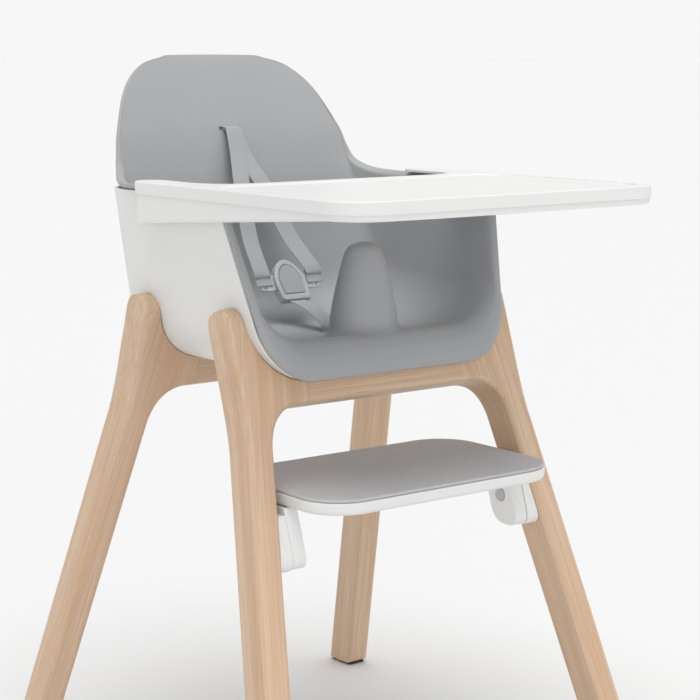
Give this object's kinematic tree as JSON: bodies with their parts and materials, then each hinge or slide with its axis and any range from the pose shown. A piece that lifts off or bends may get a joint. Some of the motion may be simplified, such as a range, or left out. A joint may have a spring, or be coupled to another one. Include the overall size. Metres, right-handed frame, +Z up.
{
  "type": "baby high chair",
  "caption": "High chair with leaning beech arch frames, a moulded tub seat with soft liner and harness, a slide-on tray and a footrest that flips between two heights.",
  "frame": {"origin": "on the floor, under the middle of the chair's overall length and width", "axes": "+X across the chair, -Y the way the child faces, +Z up"},
  "size_m": [0.5698, 0.6846, 0.9094],
  "materials": {
    "beech": "clear satin lacquer",
    "white_plastic": "satin moulded",
    "grey_soft": "soft-touch moulded",
    "mid_grey_plastic": "fine moulded texture",
    "pad_grey": "matt soft pad",
    "webbing": "ribbed woven polyester",
    "dark_rubber": "matt",
    "steel": "zinc plated"
  },
  "bodies": {
    "chair": {"buckle_body": "mid_grey_plastic", "buckle_tongue_left": "mid_grey_plastic", "buckle_tongue_right": "mid_grey_plastic", "crotch_anchor": "steel", "crotch_strap": "webbing", "footrest_mount_left": "white_plastic", "footrest_mount_right": "white_plastic", "footrest_pivot_left": "steel", "footrest_pivot_right": "steel", "front_crossbar": "beech", "front_glide_left": "dark_rubber", "front_glide_right": "dark_rubber", "front_leg_left": "beech", "front_leg_right": "beech", "outer_tub": "white_plastic", "rear_crossbar": "beech", "rear_glide_left": "dark_rubber", "rear_glide_right": "dark_rubber", "rear_leg_left": "beech", "rear_leg_right": "beech", "seat_bolt_front_left": "steel", "seat_bolt_front_right": "steel", "seat_bolt_rear_left": "steel", "seat_bolt_rear_right": "steel", "seat_liner": "grey_soft", "seat_nut_front_left": "steel", "seat_nut_front_right": "steel", "seat_nut_rear_left": "steel", "seat_nut_rear_right": "steel", "shoulder_anchor": "steel", "shoulder_strap_left": "webbing", "shoulder_strap_right": "webbing"},
    "footrest": {"footrest_arm_left": "white_plastic", "footrest_arm_right": "white_plastic", "footrest_base": "white_plastic", "footrest_pad": "pad_grey"},
    "footrest_button_left": {"footrest_button_left": "mid_grey_plastic"},
    "footrest_button_right": {"footrest_button_right": "mid_grey_plastic"},
    "tray": {"tray_top": "white_plastic", "tray_underside": "white_plastic"},
    "tray_release_lever": {"tray_release_lever": "mid_grey_plastic"},
    "tray_latch_left": {"tray_latch_left": "mid_grey_plastic"},
    "tray_latch_right": {"tray_latch_right": "mid_grey_plastic"},
    "buckle_button": {"buckle_button": "mid_grey_plastic"}
  },
  "joints": [
    {"name": "footrest_flip", "type": "hinge", "parent": "chair", "child": "footrest", "pos_m": [0, -0.13434, 0.3555], "axis": [1, 0, 0], "range_deg": [0, 180]},
    {"name": "footrest_button_left_press", "type": "slide", "parent": "footrest", "child": "footrest_button_left", "axis": [-1, 0, 0], "range_m": [0, 0.003], "stiffness_N_per_m": 600, "springref_m": -0.002},
    {"name": "footrest_button_right_press", "type": "slide", "parent": "footrest", "child": "footrest_button_right", "axis": [1, 0, 0], "range_m": [0, 0.003], "stiffness_N_per_m": 600, "springref_m": -0.002},
    {"name": "tray_slide", "type": "slide", "parent": "chair", "child": "tray", "axis": [0, -1, 0], "range_m": [0, 0.12]},
    {"name": "tray_release_pull", "type": "slide", "parent": "tray", "child": "tray_release_lever", "axis": [0, -1, 0], "range_m": [0, 0.008], "stiffness_N_per_m": 500, "springref_m": -0.002},
    {"name": "tray_latch_left_draw", "type": "slide", "parent": "tray", "child": "tray_latch_left", "axis": [-1, 0, 0], "range_m": [0, 0.006]},
    {"name": "tray_latch_right_draw", "type": "slide", "parent": "tray", "child": "tray_latch_right", "axis": [1, 0, 0], "range_m": [0, 0.006]},
    {"name": "buckle_button_press", "type": "slide", "parent": "chair", "child": "buckle_button", "axis": [0, 0.829, -0.5592], "range_m": [0, 0.0018], "stiffness_N_per_m": 800, "springref_m": -0.001}
  ],
  "couplings": [
    {"joint": "tray_latch_left_draw", "follows": "tray_release_pull", "ratio": 0.75},
    {"joint": "tray_latch_right_draw", "follows": "tray_release_pull", "ratio": 0.75}
  ]
}
